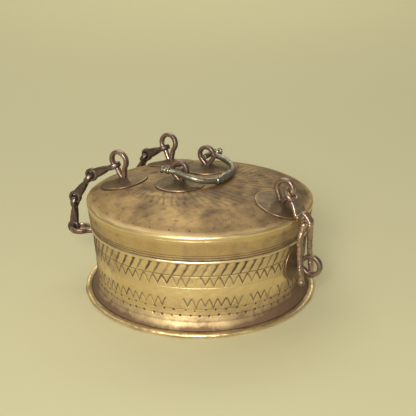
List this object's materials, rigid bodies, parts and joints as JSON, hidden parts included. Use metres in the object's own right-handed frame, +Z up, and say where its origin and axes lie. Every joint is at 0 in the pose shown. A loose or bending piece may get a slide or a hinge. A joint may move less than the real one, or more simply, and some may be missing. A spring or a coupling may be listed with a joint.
{
  "type": "paan box",
  "caption": "Round brass box for betel leaf with a domed lid on two chains, a hasp over a ring staple and a small swinging handle.",
  "frame": {"origin": "centre of the base's underside, on the drum's axis", "axes": "+Z up along the drum's axis; the picture's camera looks along +Y, and +X is the picture's right, with the hasp at 34 degrees to the near side of +X"},
  "size_m": [0.197, 0.18, 0.1073],
  "materials": {
    "drum_brass": "beaten brass with a brown patina in its punched lines",
    "lid_brass": "beaten brass, worn bright on top",
    "band_brass": "beaten brass with a brown patina",
    "washer_brass": "aged brass, olive brown",
    "eye_copper": "aged brass with a coppery tone",
    "dark_bronze": "dark aged brass",
    "hasp_bronze": "aged brass, worn bright on its edges",
    "handle_brass": "greyish pale brass"
  },
  "bodies": {
    "drum": {"base_plate": "drum_brass", "drum_wall": "drum_brass", "neck_collar": "drum_brass", "left_wall_eye": "eye_copper", "left_wall_washer": "washer_brass", "back_wall_eye": "eye_copper", "back_wall_washer": "washer_brass", "staple_eye": "eye_copper", "staple_washer": "washer_brass"},
    "lid": {"lid_top": "lid_brass", "lid_band": "band_brass", "left_lid_washer": "washer_brass", "left_lid_eye": "eye_copper", "back_lid_washer": "washer_brass", "back_lid_eye": "eye_copper", "hasp_lid_washer": "washer_brass", "hasp_lid_eye": "eye_copper", "handle_front_washer": "washer_brass", "handle_front_eye": "eye_copper", "handle_back_washer": "washer_brass", "handle_back_eye": "eye_copper"},
    "left_link_1": {"left_link_1": "dark_bronze"},
    "left_link_2": {"left_link_2": "dark_bronze"},
    "left_link_3": {"left_link_3": "dark_bronze"},
    "back_link_1": {"back_link_1": "dark_bronze"},
    "back_link_2": {"back_link_2": "dark_bronze"},
    "back_link_3": {"back_link_3": "dark_bronze"},
    "hasp_link": {"hasp_link": "hasp_bronze"},
    "hasp_fork": {"hasp_fork": "hasp_bronze"},
    "handle": {"handle": "handle_brass"}
  },
  "joints": [
    {"name": "lid_hinge", "type": "hinge", "parent": "drum", "child": "lid", "pos_m": [-0.0812, 0.05477, 0.038], "axis": [-0.5592, -0.829, 0], "range_deg": [0, 100]},
    {"name": "left_link_1_turn", "type": "hinge", "parent": "lid", "child": "left_link_1", "pos_m": [-0.0622, 0.00914, 0.09489], "axis": [0.3617, 0.9323, 0], "range_deg": [-5.9, 5.9]},
    {"name": "left_link_2_turn", "type": "hinge", "parent": "left_link_1", "child": "left_link_2", "pos_m": [-0.084, 0.01759, 0.08398], "axis": [0.3617, 0.9323, 0], "range_deg": [-12, 12]},
    {"name": "left_link_3_turn", "type": "hinge", "parent": "left_link_2", "child": "left_link_3", "pos_m": [-0.09877, 0.02332, 0.06361], "axis": [0.3617, 0.9323, 0], "range_deg": [-14.9, 14.9]},
    {"name": "back_link_1_turn", "type": "hinge", "parent": "lid", "child": "back_link_1", "pos_m": [-0.02701, 0.05492, 0.09521], "axis": [0.6668, 0.7453, 0], "range_deg": [-3.9, 3.9]},
    {"name": "back_link_2_turn", "type": "hinge", "parent": "back_link_1", "child": "back_link_2", "pos_m": [-0.04443, 0.07051, 0.08431], "axis": [0.6668, 0.7453, 0], "range_deg": [-5, 12]},
    {"name": "back_link_3_turn", "type": "hinge", "parent": "back_link_2", "child": "back_link_3", "pos_m": [-0.0547, 0.07969, 0.06249], "axis": [0.6668, 0.7453, 0], "range_deg": [-20.4, 20.4]},
    {"name": "hasp_swing", "type": "hinge", "parent": "lid", "child": "hasp_link", "pos_m": [0.06459, -0.04356, 0.08803], "axis": [-0.5592, -0.829, 0], "range_deg": [0, 32]},
    {"name": "fork_swing", "type": "hinge", "parent": "hasp_link", "child": "hasp_fork", "pos_m": [0.07528, -0.05078, 0.06925], "axis": [-0.5592, -0.829, 0], "range_deg": [0, 80]},
    {"name": "handle_swing", "type": "hinge", "parent": "lid", "child": "handle", "pos_m": [-0.0047, 0.0081, 0.09599], "axis": [-0.4695, -0.8829, 0], "range_deg": [0, 35]}
  ],
  "couplings": [
    {"joint": "left_link_1_turn", "follows": "left_link_2_turn", "ratio": -0.3772},
    {"joint": "left_link_3_turn", "follows": "left_link_2_turn", "ratio": -0.9575},
    {"joint": "back_link_1_turn", "follows": "back_link_2_turn", "ratio": -0.2488},
    {"joint": "back_link_3_turn", "follows": "back_link_2_turn", "ratio": -1.3096}
  ]
}
